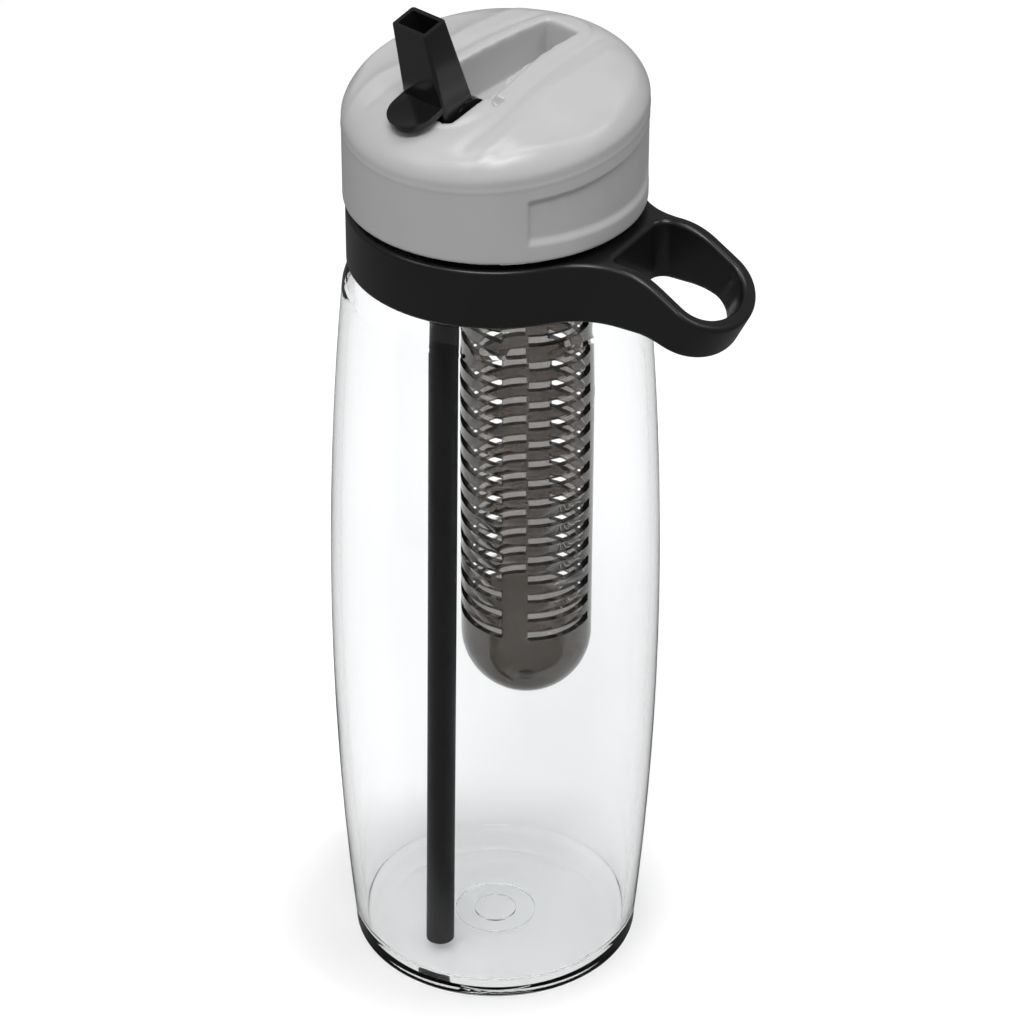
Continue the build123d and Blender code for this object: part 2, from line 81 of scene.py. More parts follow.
# Steps of the lid's relief: the place where one starts or ends, and the length that it takes, in millimetres
FOLD_NEAR_END = (-31, 6)
FOLD_FAR_END = (30, 8)
CHEEK_EDGE = (1.5, 4)
DISH_EDGE = (33.5, 5)
LEDGE_NEAR_END = (-12, 0.5)
LEDGE_FAR_END = (9.6, 0.5)
NOTCH_OUTER_EDGE = (12.4, 0.3)
CROWN_FOOT = (246, 1.5)
RIM_FOOT = (251, 2)
BANK_FOOT = (249, 2)
PANEL_FOOT = (226.9, 1.9)
PANEL_FADE = 0.9
SKIRT_FOOT = (224.4, 0.6)
SKIRT_TOP_RISE = 1.2
SKIRT_TOP_FADE = 0.8
SKIRT_INSIDE = 36.2
SLOT_EDGE = (-0.2, 0.4)
LIP_RISE = 2
LIP_FADE = 1.6

# Upward slope of a face from which the relief starts, and over which it grows
FACING_UP = (0.1, 0.3)

# The grip panels' sides, as angles from the slot's far end, and the slope of their top and of the crease
PANEL_FAR_SIDE = (44, 1.8)
PANEL_NEAR_SIDE = (124.6, 1.8)
SKIRT_SLOPE = 0.115
PANEL_TOP = 239.2
PANEL_TOP_REACH = -19.4
CREASE_HEIGHT = 240.9
CREASE_REACH = -37
CREASE_WIDTH = 0.45


def length(name, description, millimetres):
    """A size that a user can change, shown as a length."""
    return FloatProperty(name=name, description=description, default=millimetres * MM, unit="LENGTH",
                         precision=5, min=0)


def colour(name, description, value):
    """A colour that a user can change."""
    return FloatVectorProperty(name=name, description=description, default=value, subtype="COLOR",
                               size=3, min=0, max=1)


def angle(name, description, degrees):
    """An angle that a user can change."""
    return FloatProperty(name=name, description=description, default=radians(degrees), subtype="ANGLE")


def amount(name, description, value):
    """A plain number that a user can change."""
    return FloatProperty(name=name, description=description, default=value)


class BottleThreadSizes(PropertyGroup):
    """Sizes of the screw threads on the neck and in the lid."""
    neck_root: length("Neck root", "Radius of the neck under its thread", 31.9)
    neck_crest: length("Neck crest", "Radius over the neck's thread", 32.9)
    lid_root: length("Lid root", "Radius of the lid's inner wall", 35.1)
    lid_crest: length("Lid crest", "Radius inside the lid's thread", 33.3)
    pitch: length("Pitch", "Rise of a thread in one turn", 4.6)
    ridge_foot: length("Foot width", "Width of a thread's ridge where it stands on the wall", 1.9)
    ridge_top: length("Top width", "Width of a thread's ridge at its crest", 0.8)
    neck_start: length("Neck start", "Height of the lower end of the neck's thread", 224.6)
    lid_start: length("Lid start", "Height of the lower end of the lid's thread", 227.2)
    turns: FloatProperty(name="Turns", description="Turns of each thread", default=1.8, min=0.5, max=4)
    run_out: angle("Run-out", "Angle over which a thread rises from the wall", 24)
    steps: IntProperty(name="Steps", description="Sections in one turn of a thread", default=96, min=12)


class BottleLidSizes(PropertyGroup):
    """Sizes of the moulded relief on the lid."""
    grain: length("Grain", "Spacing of the lid's mesh", 0.45)
    valley: length("Valley", "Depth of the valley beside the slot's rim", 0.5)
    ridge: length("Ridge", "Height of the ridge between the valley and the cheek", 0.4)
    dish: length("Dish", "Depth of the dish in each cheek", 0.3)
    brow: length("Brow", "Rise of the cheek's outer edge", 0.35)
    ledge: length("Ledge", "Depth of the ledge along the slot", 1.4)
    ledge_width: length("Ledge width", "Width of the ledge at its wide end", 2.2)
    notch: length("Notch", "Depth of the notch beside the drum", 2.0)
    grip: length("Grip", "Depth of the grip panels", 0.95)
    crease: length("Crease", "Height of the bead where the crown meets the skirt", 0.12)
    wall_radius: length("Wall radius", "Radius of the skirt", 37.5)
    kept: FloatProperty(name="Kept", description="Share of the mesh's faces that is kept", default=0.35,
                        min=0.05, max=1)


class BottleColours(PropertyGroup):
    """Colours of the finishes."""
    clear: colour("Clear", "Tint of the clear body", (0.972, 0.98, 0.982))
    smoke: colour("Smoke", "Tint of the basket's wall", (0.325, 0.305, 0.29))
    grey: colour("Grey", "Lid", (0.47, 0.47, 0.472))
    black: colour("Black", "Carry loop", (0.0075, 0.0075, 0.008))
    gloss_black: colour("Gloss black", "Spout", (0.006, 0.006, 0.0065))
    straw_black: colour("Straw black", "Straw", (0.009, 0.009, 0.0093))
    silicone: colour("Silicone", "Seals and valve", (0.62, 0.63, 0.64))
    floor: colour("Floor", "Floor under the bottle", (0.86, 0.86, 0.865))


class BottleStage(PropertyGroup):
    """Camera and lamps."""
    azimuth: angle("Azimuth", "Camera's turn about the bottle", -46)
    elevation: angle("Elevation", "Camera's height angle above the floor", 32.22)
    distance: length("Distance", "Camera to the bottle's axis", 1063.8)
    aim_height: length("Aim height", "Height on the bottle's axis that the camera looks at", 129.8)
    lens: amount("Lens", "Focal length in millimetres", 145.6)
    shift: amount("Shift", "Sideways shift of the picture", 0.0162)
    ambient: amount("Ambient", "Strength of the studio's even light", 0.3)
    mirrored: amount("Mirrored", "Studio's strength in reflections", 0.22)
    relayed: amount("Relayed", "Studio's strength in reflections seen through plastic", 0.8)
    # Painted shade in reflections: the floor before the bottle is darker where rays reach it after a
    # mirroring
    front_relayed: amount("Front relayed", "Strength there of the floor before the bottle", 0.12)
    floor_mirrored: amount("Floor mirrored", "Floor's strength in reflections", 0.22)
    bounced: amount("Bounced", "Share of the floor's light that lights the bottle", 0.45)
    # Painted shadow on the floor: its colour and glow darken by distance from a point a little left of the
    # foot
    shade: amount("Shade", "Floor's brightness under the bottle", 0.76)
    shade_shift: length("Shade shift", "Distance of the shade's middle to the left", 8)
    shade_start: length("Shade start", "Radius within which the shade is full", 36)
    shade_end: length("Shade end", "Radius at which the shade ends", 70)
    # Where that painted shade in reflections fades in, before the bottle
    front_start: length("Front start", "Distance before the bottle where relayed light starts to fade", 45)
    front_end: length("Front end", "Distance before the bottle where relayed light has faded", 70)
    floor_lift: amount("Floor lift", "Light that the floor adds when seen", 0.36)
    through_lift: amount("Lift through", "Light that it adds when seen through plastic", 0.31)
    floor_drop: length("Floor drop", "Gap under the foot, which lets light in between", 0.3)
    floor_reach: length("Floor reach", "Half of the floor's width", 3000)
    lamp_aim: length("Lamp aim", "Height that the lamps point at", 160)


def new_material(name):
    """An empty node material with its output."""
    material = bpy.data.materials.new(name)
    material.use_nodes = True
    tree = material.node_tree
    tree.nodes.clear()
    output = tree.nodes.new("ShaderNodeOutputMaterial")
    return material, tree, output


def noise(tree, grain, detail=2.0):
    """Noise on the piece's own coordinates, its grain in metres."""
    place = tree.nodes.new("ShaderNodeTexCoord")
    pattern = tree.nodes.new("ShaderNodeTexNoise")
    pattern.inputs["Scale"].default_value = 1 / grain
    pattern.inputs["Detail"].default_value = detail
    tree.links.new(place.outputs["Object"], pattern.inputs["Vector"])
    return pattern.outputs["Fac"]


def spread(tree, source, low, high):
    """Noise remapped to a range of values."""
    remap = tree.nodes.new("ShaderNodeMapRange")
    remap.inputs["From Min"].default_value = NOISE_LOW
    remap.inputs["From Max"].default_value = NOISE_HIGH
    remap.inputs["To Min"].default_value = low
    remap.inputs["To Max"].default_value = high
    tree.links.new(source, remap.inputs["Value"])
    return remap.outputs["Result"]


def mottled(tree, source, tone, share):
    """Colour that drifts by a small share about its tone."""
    ramp = tree.nodes.new("ShaderNodeValToRGB")
    for stop, place, gain in zip(ramp.color_ramp.elements, (NOISE_LOW, NOISE_HIGH), (1 - share, 1 + share)):
        stop.position = place
        stop.color = (*(min(1, channel * gain) for channel in tone), 1)
    tree.links.new(source, ramp.inputs["Fac"])
    return ramp.outputs["Color"]


def by_ray(tree, straight, through, relayed, mirrored, lit):
    """A value for camera rays, for rays that look through clear plastic, for rays that some surface mirrored
    before, for rays that the last surface mirrored, and for rays that gather light."""
    path = tree.nodes.new("ShaderNodeLightPath")
    source = None
    for ray, value in (
        ("Is Camera Ray", straight),
        ("Glossy Depth", relayed),
        ("Is Reflection Ray", mirrored),
        ("Diffuse Depth", lit),
    ):
        choice = tree.nodes.new("ShaderNodeMix")
        tree.links.new(path.outputs[ray], choice.inputs["Factor"])
        for socket, given in (("A", source if source else through), ("B", value)):
            if isinstance(given, bpy.types.NodeSocket):
                tree.links.new(given, choice.inputs[socket])
            else:
                choice.inputs[socket].default_value = given
        source = choice.outputs["Result"]
    return source


def fading(tree, operation, vector, near, far, start, end):
    """A value that goes from near to far with the distance along a direction, or from a place."""
    place = tree.nodes.new("ShaderNodeTexCoord")
    along = tree.nodes.new("ShaderNodeVectorMath")
    along.operation = operation
    along.inputs[1].default_value = vector
    tree.links.new(place.outputs["Object"], along.inputs[0])
    remap = tree.nodes.new("ShaderNodeMapRange")
    remap.interpolation_type = "SMOOTHSTEP"
    for socket, value in (("From Min", start), ("From Max", end), ("To Min", near), ("To Max", far)):
        remap.inputs[socket].default_value = value
    tree.links.new(along.outputs["Value"], remap.inputs["Value"])
    return remap.outputs["Result"]


def product(tree, first, second):
    """The product of two values."""
    both = tree.nodes.new("ShaderNodeMath")
    both.operation = "MULTIPLY"
    tree.links.new(first, both.inputs[0])
    tree.links.new(second, both.inputs[1])
    return both.outputs["Value"]


def grained(tree, source, depth):
    """Surface normal roughened by a noise of some depth in metres."""
    grain = tree.nodes.new("ShaderNodeBump")
    grain.inputs["Strength"].default_value = 1
    grain.inputs["Distance"].default_value = depth
    tree.links.new(source, grain.inputs["Height"])
    return grain.outputs["Normal"]


def moulded_plastic(name, tone, roughness, grain, depth, shine=0.5, drift=0.04):
    """Opaque moulded plastic: fine tool grain, slight drift of colour and polish."""
    cloud_size = 14 * MM
    grain_detail = 4.0
    smoother_share = 0.9
    rougher_share = 1.12
    material, tree, output = new_material(name)
    shader = tree.nodes.new("ShaderNodeBsdfPrincipled")
    shader.inputs["Specular IOR Level"].default_value = shine
    clouds = noise(tree, cloud_size)
    fine = noise(tree, grain, grain_detail)
    tree.links.new(mottled(tree, clouds, tone, drift), shader.inputs["Base Color"])
    polish = spread(tree, clouds, roughness * smoother_share, roughness * rougher_share)
    tree.links.new(polish, shader.inputs["Roughness"])
    tree.links.new(grained(tree, fine, depth), shader.inputs["Normal"])
    tree.links.new(shader.outputs["BSDF"], output.inputs["Surface"])
    return material


def see_through_plastic(name, tint, lamp_tint, roughness, ripple, depth, shine=0.5, ior=1.52, wall=None):
    """Clear moulded plastic with gentle ripples, which lets the lamps through. With a wall thickness, its
    tint is what such a wall lets through, and longer ways through the plastic are darker."""
    material, tree, output = new_material(name)
    shader = tree.nodes.new("ShaderNodeBsdfPrincipled")
    shader.inputs["Base Color"].default_value = (1, 1, 1, 1) if wall else (*tint, 1)
    shader.inputs["Transmission Weight"].default_value = 1
    shader.inputs["IOR"].default_value = ior
    shader.inputs["Specular IOR Level"].default_value = shine
    shader.inputs["Roughness"].default_value = roughness
    tree.links.new(grained(tree, noise(tree, ripple, detail=1.0), depth), shader.inputs["Normal"])
    lamps = tree.nodes.new("ShaderNodeBsdfTransparent")
    lamps.inputs["Color"].default_value = (*lamp_tint, 1)
    path = tree.nodes.new("ShaderNodeLightPath")
    mix = tree.nodes.new("ShaderNodeMixShader")
    tree.links.new(path.outputs["Is Shadow Ray"], mix.inputs["Fac"])
    tree.links.new(shader.outputs["BSDF"], mix.inputs[1])
    tree.links.new(lamps.outputs["BSDF"], mix.inputs[2])
    tree.links.new(mix.outputs["Shader"], output.inputs["Surface"])
    if wall:
        losses = [-log(channel) / wall for channel in tint]
        # Any number over 1 keeps the dye's own colour above black
        spare = 1.2
        density = max(losses) * spare
        dye = tree.nodes.new("ShaderNodeVolumeAbsorption")
        dye.inputs["Density"].default_value = density
        dye.inputs["Color"].default_value = (*(1 - loss / density for loss in losses), 1)
        tree.links.new(dye.outputs["Volume"], output.inputs["Volume"])
    return material


def silicone_rubber(name, tone):
    """Matt translucent rubber with a faint bloom."""
    soak = 1.2 * MM
    cloud_size = 6 * MM
    grain = 0.3 * MM
    grain_depth = 0.01 * MM
    material, tree, output = new_material(name)
    shader = tree.nodes.new("ShaderNodeBsdfPrincipled")
    shader.inputs["Subsurface Weight"].default_value = 0.35
    shader.inputs["Subsurface Radius"].default_value = (soak, soak, soak)
    shader.inputs["Subsurface Scale"].default_value = 1
    clouds = noise(tree, cloud_size)
    tree.links.new(mottled(tree, clouds, tone, share=0.05), shader.inputs["Base Color"])
    tree.links.new(spread(tree, clouds, low=0.5, high=0.62), shader.inputs["Roughness"])
    tree.links.new(grained(tree, noise(tree, grain, detail=3.0), grain_depth), shader.inputs["Normal"])
    tree.links.new(shader.outputs["BSDF"], output.inputs["Surface"])
    return material


def dress(piece, material):
    """Gives a piece its material in every slot."""
    if not piece.material_slots:
        piece.data.materials.append(material)
    for holder in piece.material_slots:
        holder.material = material
    return piece


def mesh_piece(name, points, faces, body):
    """A smooth mesh made of points and faces, which rides on a body."""
    mesh = bpy.data.meshes.new(name)
    mesh.from_pydata(points, [], faces)
    shaped = bmesh.new()
    shaped.from_mesh(mesh)
    bmesh.ops.recalc_face_normals(shaped, faces=shaped.faces)
    shaped.to_mesh(mesh)
    shaped.free()
    mesh.shade_smooth()
    piece = bpy.data.objects.new(name, mesh)
    bpy.context.scene.collection.objects.link(piece)
    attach(piece, body)
    return piece


def screw_thread(name, sizes, root, crest, start, body):
    """A helical ridge with tapered ends, closed at both, which stands on a round wall."""
    sunk_share = 0.15
    least_rise = 0.02
    rounded_share = 0.7
    rounded_angle = 25
    sunk = root - (crest - root) * sunk_share
    foot = sizes.ridge_foot / 2
    top = sizes.ridge_top / 2
    count = round(sizes.steps * sizes.turns)
    points = []
    for step in range(count + 1):
        turn = tau * sizes.turns * step / count
        left = min(turn, tau * sizes.turns - turn)
        rise = max(ease(left / sizes.run_out), least_rise)
        height = start + sizes.pitch * turn / tau
        reach = root + (crest - root) * rise
        for radius, offset in ((sunk, -foot), (reach, -top), (reach, top), (sunk, foot)):
            points.append((radius * cos(turn), radius * sin(turn), height + offset))
    faces = [(3, 2, 1, 0), tuple(count * 4 + corner for corner in range(4))]
    for step in range(count):
        for corner in range(4):
            here = step * 4 + corner
            beside = step * 4 + (corner + 1) % 4
            faces.append((here, beside, beside + 4, here + 4))
    piece = mesh_piece(name, points, faces, body)
    round_over = piece.modifiers.new("soft_edges", "BEVEL")
    round_over.width = top * rounded_share
    round_over.segments = 2
    round_over.angle_limit = radians(rounded_angle)
    return piece


def smooth_by_angle(piece):
    """Shades a CAD piece smooth except at its sharp edges."""
    piece.data.shade_smooth()
    piece.data.set_sharp_from_angle(angle=radians(SHARP_ANGLE))


def ease(value):
    """A smooth step from 0 to 1."""
    value = np.clip(value, 0, 1)
    return value * value * (3 - 2 * value)


def step_up(place, start, run):
    """A smooth step from 0 at a start to 1 at the end of its run."""
    return ease((place - start) / run)


def step_down(place, end, run):
    """A smooth step from 1 that reaches 0 at an end."""
    return ease((end - place) / run)


def bell(distance, width):
    """A smooth bell of height 1 about distance 0."""
    return np.exp(-((distance / width) ** 2))


def baked_copy(piece, name, modifiers):
    """A new mesh that has a piece's form after some modifiers."""
    copy = piece.copy()
    copy.data = piece.data.copy()
    bpy.context.scene.collection.objects.link(copy)
    for kind, settings in modifiers:
        step = copy.modifiers.new(kind.lower(), kind)
        for setting, value in settings.items():
            setattr(step, setting, value)
    bpy.context.view_layer.update()
    shaped = copy.evaluated_get(bpy.context.evaluated_depsgraph_get())
    mesh = bpy.data.meshes.new_from_object(shaped)
    mesh.name = name
    bpy.data.objects.remove(copy)
    return mesh


def read_points(mesh, value="co"):
    """A mesh's points, or another vector of its vertices, as an array."""
    values = np.empty(len(mesh.vertices) * 3, dtype=np.float32)
    mesh.vertices.foreach_get(value, values)
    return values.reshape(-1, 3).astype(float)


def beside_slot(along, side):
    """Distance of points beside the slot's long edges, in millimetres."""
    return side - np.interp(along, SLOT_REACH, SLOT_HALF_WIDTH)


class BOTTLE_OT_stage(Operator):
    """Sets the camera, the lamps, the pale floor with its painted shadow and the white surroundings"""
    bl_idname = "bottle.stage"
    bl_label = "Stage"
    # Each softbox: its place to the right, toward the camera and up, its width and height, and its watts
    softboxes = (
        ("key_softbox", (0.9, 0.1, 1.15), 0.6, 0.5, 3.4),
        ("left_softbox", (-1.0, 0.4, 1.15), 0.4, 0.6, 2.2),
        ("front_softbox", (-0.16, 0.77, 1.45), 0.8, 0.25, 11.0),
        ("top_softbox", (-0.1, 0.05, 1.5), 0.6, 0.6, 5.0),
    )

    def execute(self, context):
        stage = context.scene.bottle_stage
        right = Vector((cos(stage.azimuth), sin(stage.azimuth), 0))
        toward = Vector((sin(stage.azimuth), -cos(stage.azimuth), 0))
        self.camera(context, stage)
        self.surroundings(context, stage)
        self.floor(context, stage, right, toward)
        self.lamps(context, stage, right, toward)
        return {"FINISHED"}

    def camera(self, context, stage):
        lens = bpy.data.cameras.new("camera")
        lens.lens = stage.lens
        lens.shift_x = stage.shift
        eye = bpy.data.objects.new("camera", lens)
        context.scene.collection.objects.link(eye)
        level = cos(stage.elevation) * stage.distance
        eye.location = (
            sin(stage.azimuth) * level,
            -cos(stage.azimuth) * level,
            stage.aim_height + sin(stage.elevation) * stage.distance,
        )
        eye.rotation_euler = (pi / 2 - stage.elevation, 0, stage.azimuth)
        context.scene.camera = eye

    def surroundings(self, context, stage):
        world = bpy.data.worlds.new("studio")
        context.scene.world = world
        world.use_nodes = True
        tree = world.node_tree
        tree.nodes.clear()
        output = tree.nodes.new("ShaderNodeOutputWorld")
        light = tree.nodes.new("ShaderNodeBackground")
        light.inputs["Color"].default_value = (1, 1, 1, 1)
        strength = by_ray(tree, 1, 1, stage.relayed, stage.mirrored, stage.ambient)
        tree.links.new(strength, light.inputs["Strength"])
        tree.links.new(light.outputs["Background"], output.inputs["Surface"])

    def floor(self, context, stage, right, toward):
        mesh = bpy.data.meshes.new("floor")
        reach = stage.floor_reach
        level = -stage.floor_drop
        mesh.from_pydata(
            [(-reach, -reach, level), (reach, -reach, level), (reach, reach, level), (-reach, reach, level)],
            [],
            [(0, 1, 2, 3)],
        )
        floor = bpy.data.objects.new("floor", mesh)
        context.scene.collection.objects.link(floor)
        material, tree, output = new_material("floor_paper")
        shader = tree.nodes.new("ShaderNodeBsdfDiffuse")
        paper = tree.nodes.new("ShaderNodeMix")
        paper.data_type = "RGBA"
        tone = context.scene.bottle_colours.floor
        paper.inputs["A"].default_value = (0, 0, 0, 1)
        paper.inputs["B"].default_value = (*tone, 1)
        # Painted shadow under the bottle: the floor's colour and glow darken by distance from a point a
        # little left of the foot, whatever the lamps do
        middle = right * -stage.shade_shift
        shade = fading(tree, "DISTANCE", middle, stage.shade, 1, stage.shade_start, stage.shade_end)
        # Painted shade in reflections: for rays that a surface mirrored before, the floor before the bottle
        # fades darker and loses its glow
        front = (stage.front_start, stage.front_end)
        relayed = fading(tree, "DOT_PRODUCT", toward, stage.relayed, stage.front_relayed, *front)
        share = by_ray(tree, 1, 1, relayed, stage.floor_mirrored, stage.bounced)
        tree.links.new(product(tree, share, shade), paper.inputs["Factor"])
        tree.links.new(paper.outputs["Result"], shader.inputs["Color"])
        glow = tree.nodes.new("ShaderNodeEmission")
        relayed_lift = fading(tree, "DOT_PRODUCT", toward, stage.through_lift, 0, *front)
        lift = by_ray(tree, stage.floor_lift, stage.through_lift, relayed_lift, 0, 0)
        # The painted shadow darkens the floor's glow too
        tree.links.new(product(tree, lift, shade), glow.inputs["Strength"])
        both = tree.nodes.new("ShaderNodeAddShader")
        tree.links.new(shader.outputs["BSDF"], both.inputs[0])
        tree.links.new(glow.outputs["Emission"], both.inputs[1])
        tree.links.new(both.outputs["Shader"], output.inputs["Surface"])
        mesh.materials.append(material)

    def lamps(self, context, stage, right, toward):
        up = Vector((0, 0, 1))
        aim = up * stage.lamp_aim
        for name, (across, nearer, higher), width, height, power in self.softboxes:
            lamp = bpy.data.lights.new(name, "AREA")
            lamp.shape = "RECTANGLE"
            lamp.size = width
            lamp.size_y = height
            lamp.energy = power
            softbox = bpy.data.objects.new(name, lamp)
            softbox.location = right * across + toward * nearer + up * higher
            softbox.rotation_euler = (softbox.location - aim).to_track_quat("Z", "Y").to_euler()
            context.scene.collection.objects.link(softbox)


class BOTTLE_OT_clear_body(Operator):
    """Finishes the clear body and winds the screw thread round its neck"""
    bl_idname = "bottle.clear_body"
    bl_label = "Clear body"

    def execute(self, context):
        tint = context.scene.bottle_colours.clear
        lamp_tint = (0.74, 0.74, 0.74)
        clear = see_through_plastic("clear_copolyester", tint, lamp_tint, roughness=0.0, ripple=45 * MM,
                                    depth=0.05 * MM, shine=0.25, ior=1.27)
        smooth_by_angle(nodes["bottle_shell"])
        dress(nodes["bottle_shell"], clear)
        sizes = context.scene.bottle_threads
        thread = screw_thread("neck_thread", sizes, sizes.neck_root, sizes.neck_crest, sizes.neck_start,
                              "bottle")
        dress(thread, clear)
        return {"FINISHED"}


class BOTTLE_OT_carry_loop(Operator):
    """Finishes the carry loop in satin black"""
    bl_idname = "bottle.carry_loop"
    bl_label = "Carry loop"

    def execute(self, context):
        tone = context.scene.bottle_colours.black
        black = moulded_plastic("satin_black", tone, roughness=0.3, grain=0.25 * MM, depth=0.006 * MM,
                                shine=0.42, drift=0.1)
        smooth_by_angle(nodes["carry_loop"])
        dress(nodes["carry_loop"], black)
        return {"FINISHED"}


class BOTTLE_OT_lid(Operator):
    """Gives the lid its moulded relief and satin grey finish, and winds the thread inside it"""
    bl_idname = "bottle.lid"
    bl_label = "Lid"

    def execute(self, context):
        tone = context.scene.bottle_colours.grey
        grey = moulded_plastic("satin_grey", tone, roughness=0.31, grain=0.3 * MM, depth=0.006 * MM,
                               drift=0.02)
        form = context.scene.bottle_lid
        cap = self.moulded_cap(form)
        dress(cap, grey)
        sizes = context.scene.bottle_threads
        thread = screw_thread("lid_thread", sizes, sizes.lid_root, sizes.lid_crest, sizes.lid_start, "lid")
        dress(thread, grey)
        return {"FINISHED"}

    def moulded_cap(self, form):
        """The lid with soft edges, its relief, the grip panels and the crease."""
        even = {"factor": 0.5, "iterations": 5}
        soften = {"factor": 0.5, "iterations": 22, "vertex_group": "soft_rim"}
        least_weight = 0.05
        plain = nodes["lid_cap"]
        mesh = baked_copy(plain, "moulded_lid", (
            ("REMESH", {"mode": "VOXEL", "voxel_size": form.grain}),
            ("SMOOTH", even),
        ))
        cap = bpy.data.objects.new("moulded_lid", mesh)
        bpy.context.scene.collection.objects.link(cap)
        along, across, height = read_points(mesh).T / MM
        outside = np.maximum(beside_slot(along, np.abs(across)), along - SLOT_REACH[-1])
        rim = cap.vertex_groups.new(name="soft_rim")
        near = bell(outside - RIM_REACH, RIM_WIDTH) * step_up(height, *RIM_FOOT)
        near = np.maximum(near, bell(outside - BANK_REACH, BANK_WIDTH) * step_up(height, *BANK_FOOT))
        for index in np.flatnonzero(near > least_weight):
            rim.add([int(index)], float(near[index]), "REPLACE")
        soft = baked_copy(cap, "moulded_lid", (("SMOOTH", soften),))
        cap.data = soft
        bpy.data.meshes.remove(mesh)
        points = read_points(soft)
        facing = read_points(soft, value="normal")
        points += self.top_relief(points / MM, facing, form) * MM
        points *= self.skirt_relief(points / MM, form)[:, None] ** np.array((1, 1, 0))
        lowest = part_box("lid_cap")[0].z / MM
        points[:, 2] += self.crisp_lip(points[:, 2] / MM, lowest) * MM
        soft.vertices.foreach_set("co", points.astype(np.float32).ravel())
        soft.update()
        soft.shade_smooth()
        polish = cap.modifiers.new("polish", "SMOOTH")
        polish.factor = 0.5
        polish.iterations = 2
        fewer = cap.modifiers.new("fewer_faces", "DECIMATE")
        fewer.ratio = form.kept
        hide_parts("lid_cap")
        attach(cap, "lid")
        return cap

    def top_relief(self, points, facing, form):
        """Moves of the crown's points: valleys, ridges, cheeks, ledge and notches."""
        along, across, height = points.T
        side = np.abs(across)
        reach = np.hypot(along, across)
        valley = np.interp(along, VALLEY_REACH, VALLEY_OFFSET)
        ridge = np.interp(along, RIDGE_REACH, RIDGE_OFFSET)
        ends = step_up(along, *FOLD_NEAR_END) * step_down(along, *FOLD_FAR_END)
        lift = -form.valley * bell(side - valley, FOLD_WIDTH) * ends
        lift += form.ridge * bell(side - ridge, FOLD_WIDTH) * ends
        cheek = step_up(side - ridge, *CHEEK_EDGE) * ends
        lift -= form.dish * cheek * step_down(reach, *DISH_EDGE)
        lift += form.brow * cheek * bell(reach - BROW_REACH, FOLD_WIDTH)
        outside = beside_slot(along, side)
        near_end, far_end = LEDGE_REACH
        width = form.ledge_width / MM * (far_end - along) / (far_end - near_end)
        strip = step_up(along, *LEDGE_NEAR_END) * step_down(along, *LEDGE_FAR_END) * (across < 0)
        lift -= form.ledge * strip * step_down(outside, width, LEDGE_FADE)
        lift -= form.notch * self.notch(along, side)
        upward = step_up(facing[:, 2], *FACING_UP)
        weight = upward * step_up(height, *CROWN_FOOT) * step_up(outside, *SLOT_EDGE)
        return (lift / MM * weight)[:, None] * np.array((0, 0, 1))

    def notch(self, along, side):
        """Share of the notch's depth: a triangle that opens outward from its apex by the slot."""
        apex, apex_side = NOTCH_APEX
        far_slope, near_slope = NOTCH_SLOPES
        outer = step_down(side, *NOTCH_OUTER_EDGE)
        far = step_up(side - apex_side - (along - apex) * far_slope, 0, NOTCH_FADE)
        near = step_up(side - apex_side + (along - apex) * near_slope, 0, NOTCH_FADE)
        return outer * (far * near)

    def skirt_relief(self, points, form):
        """Shares by which the skirt's points move out or in: grip panels and the crease's bead."""
        along, across, height = points.T
        reach = np.hypot(along, across)
        turn = np.degrees(np.arctan2(np.abs(across), along))
        top = PANEL_TOP + SKIRT_SLOPE * (along - PANEL_TOP_REACH)
        panel = step_down(height, top, PANEL_FADE) * step_up(height, *PANEL_FOOT)
        panel *= step_down(turn, *PANEL_NEAR_SIDE) * step_up(turn, *PANEL_FAR_SIDE)
        crease = CREASE_HEIGHT + SKIRT_SLOPE * (along - CREASE_REACH)
        bead = bell(height - crease, CREASE_WIDTH)
        wall = form.wall_radius / MM - form.grip / MM * panel + form.crease / MM * bead
        skirt = (reach > SKIRT_INSIDE) * step_up(height, *SKIRT_FOOT)
        skirt *= step_down(height, crease + SKIRT_TOP_RISE, SKIRT_TOP_FADE)
        return 1 + (wall / np.maximum(reach, 1) - 1) * skirt

    def crisp_lip(self, height, lowest):
        """Moves that bring the skirt's lower lip back to its height after the smoothing."""
        return (lowest - height.min()) * step_down(height, lowest + LIP_RISE, LIP_FADE)


class BOTTLE_OT_spout(Operator):
    """Finishes the flip-up spout in gloss black"""
    bl_idname = "bottle.spout"
    bl_label = "Spout"

    def execute(self, context):
        tone = context.scene.bottle_colours.gloss_black
        gloss = moulded_plastic("gloss_black", tone, roughness=0.14, grain=0.6 * MM, depth=0.002 * MM,
                                shine=0.55, drift=0.1)
        smooth_by_angle(nodes["mouthpiece"])
        dress(nodes["mouthpiece"], gloss)
        return {"FINISHED"}


class BOTTLE_OT_plug_and_seals(Operator):
    """Finishes the lid's inner plug, the gasket, the spout's seat and the air valve"""
    bl_idname = "bottle.plug_and_seals"
    bl_label = "Plug and seals"

    def execute(self, context):
        colours = context.scene.bottle_colours
        grey = moulded_plastic("plug_grey", colours.grey, roughness=0.42, grain=0.3 * MM, depth=0.008 * MM,
                               drift=0.03)
        smooth_by_angle(nodes["inner_plug"])
        dress(nodes["inner_plug"], grey)
        rubber = silicone_rubber("silicone", colours.silicone)
        for name in ("lid_gasket", "spout_seal", "vent_valve"):
            smooth_by_angle(nodes[name])
            dress(nodes[name], rubber)
        return {"FINISHED"}


class BOTTLE_OT_straw(Operator):
    """Finishes the straw in satin black"""
    bl_idname = "bottle.straw"
    bl_label = "Straw"

    def execute(self, context):
        tone = context.scene.bottle_colours.straw_black
        black = moulded_plastic("straw_black", tone, roughness=0.45, grain=0.4 * MM, depth=0.004 * MM,
                                shine=0.12, drift=0.12)
        smooth_by_angle(nodes["straw"])
        dress(nodes["straw"], black)
        return {"FINISHED"}


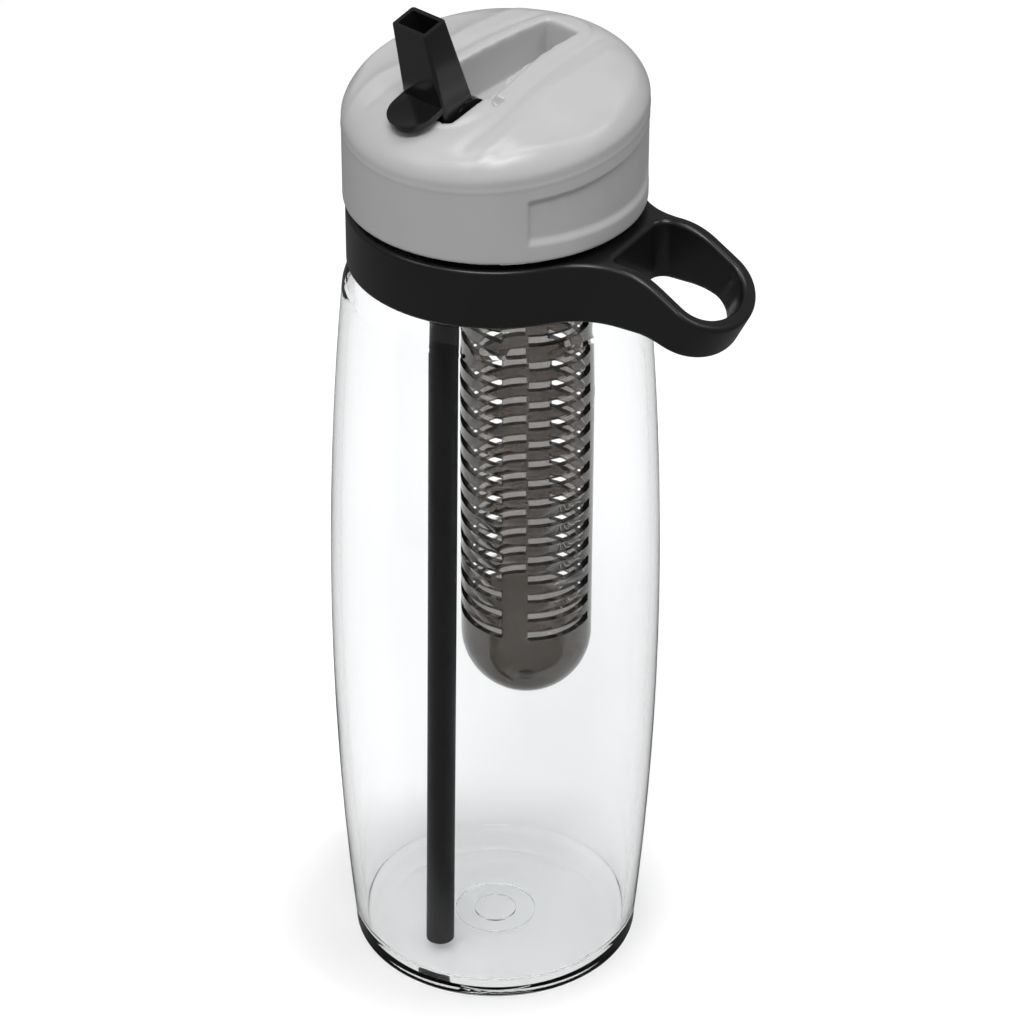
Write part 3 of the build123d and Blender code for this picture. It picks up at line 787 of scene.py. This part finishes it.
class BOTTLE_OT_basket(Operator):
    """Finishes the fruit basket in smoke-tinted clear plastic"""
    bl_idname = "bottle.basket"
    bl_label = "Fruit basket"

    def execute(self, context):
        tint = context.scene.bottle_colours.smoke
        lamp_tint = (0.95, 0.95, 0.95)
        smoke = see_through_plastic("smoke_tint", tint, lamp_tint, roughness=0.02, ripple=12 * MM,
                                    depth=0.02 * MM, wall=1.6 * MM)
        smooth_by_angle(nodes["infuser_basket"])
        dress(nodes["infuser_basket"], smoke)
        return {"FINISHED"}


OPERATORS = (
    BOTTLE_OT_stage,
    BOTTLE_OT_clear_body,
    BOTTLE_OT_carry_loop,
    BOTTLE_OT_lid,
    BOTTLE_OT_spout,
    BOTTLE_OT_plug_and_seals,
    BOTTLE_OT_straw,
    BOTTLE_OT_basket,
)
GROUPS = {
    "bottle_threads": BottleThreadSizes,
    "bottle_lid": BottleLidSizes,
    "bottle_colours": BottleColours,
    "bottle_stage": BottleStage,
}


class BOTTLE_PT_panel(Panel):
    """Lists the bottle's pieces and their sizes and colours"""
    bl_idname = "BOTTLE_PT_panel"
    bl_label = "Infuser bottle"
    bl_space_type = "VIEW_3D"
    bl_region_type = "UI"
    bl_category = "Bottle"

    def draw(self, context):
        for operator in OPERATORS:
            self.layout.operator(operator.bl_idname)
        for name, group in GROUPS.items():
            settings = getattr(context.scene, name)
            for size in group.__annotations__:
                self.layout.prop(settings, size)


def register():
    """Registers the settings, the operators and the panel."""
    for kind in (*GROUPS.values(), *OPERATORS, BOTTLE_PT_panel):
        bpy.utils.register_class(kind)
    for name, group in GROUPS.items():
        setattr(bpy.types.Scene, name, PointerProperty(type=group))


def unregister():
    """Takes them away again."""
    for name in GROUPS:
        delattr(bpy.types.Scene, name)
    for kind in (BOTTLE_PT_panel, *reversed(OPERATORS), *GROUPS.values()):
        bpy.utils.unregister_class(kind)


def main():
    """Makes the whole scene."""
    register()
    bpy.context.scene.view_settings.view_transform = "Standard"
    bpy.ops.bottle.stage()
    bpy.ops.bottle.clear_body()
    bpy.ops.bottle.carry_loop()
    bpy.ops.bottle.lid()
    bpy.ops.bottle.spout()
    bpy.ops.bottle.plug_and_seals()
    bpy.ops.bottle.straw()
    bpy.ops.bottle.basket()


if __name__ == "__main__":
    main()
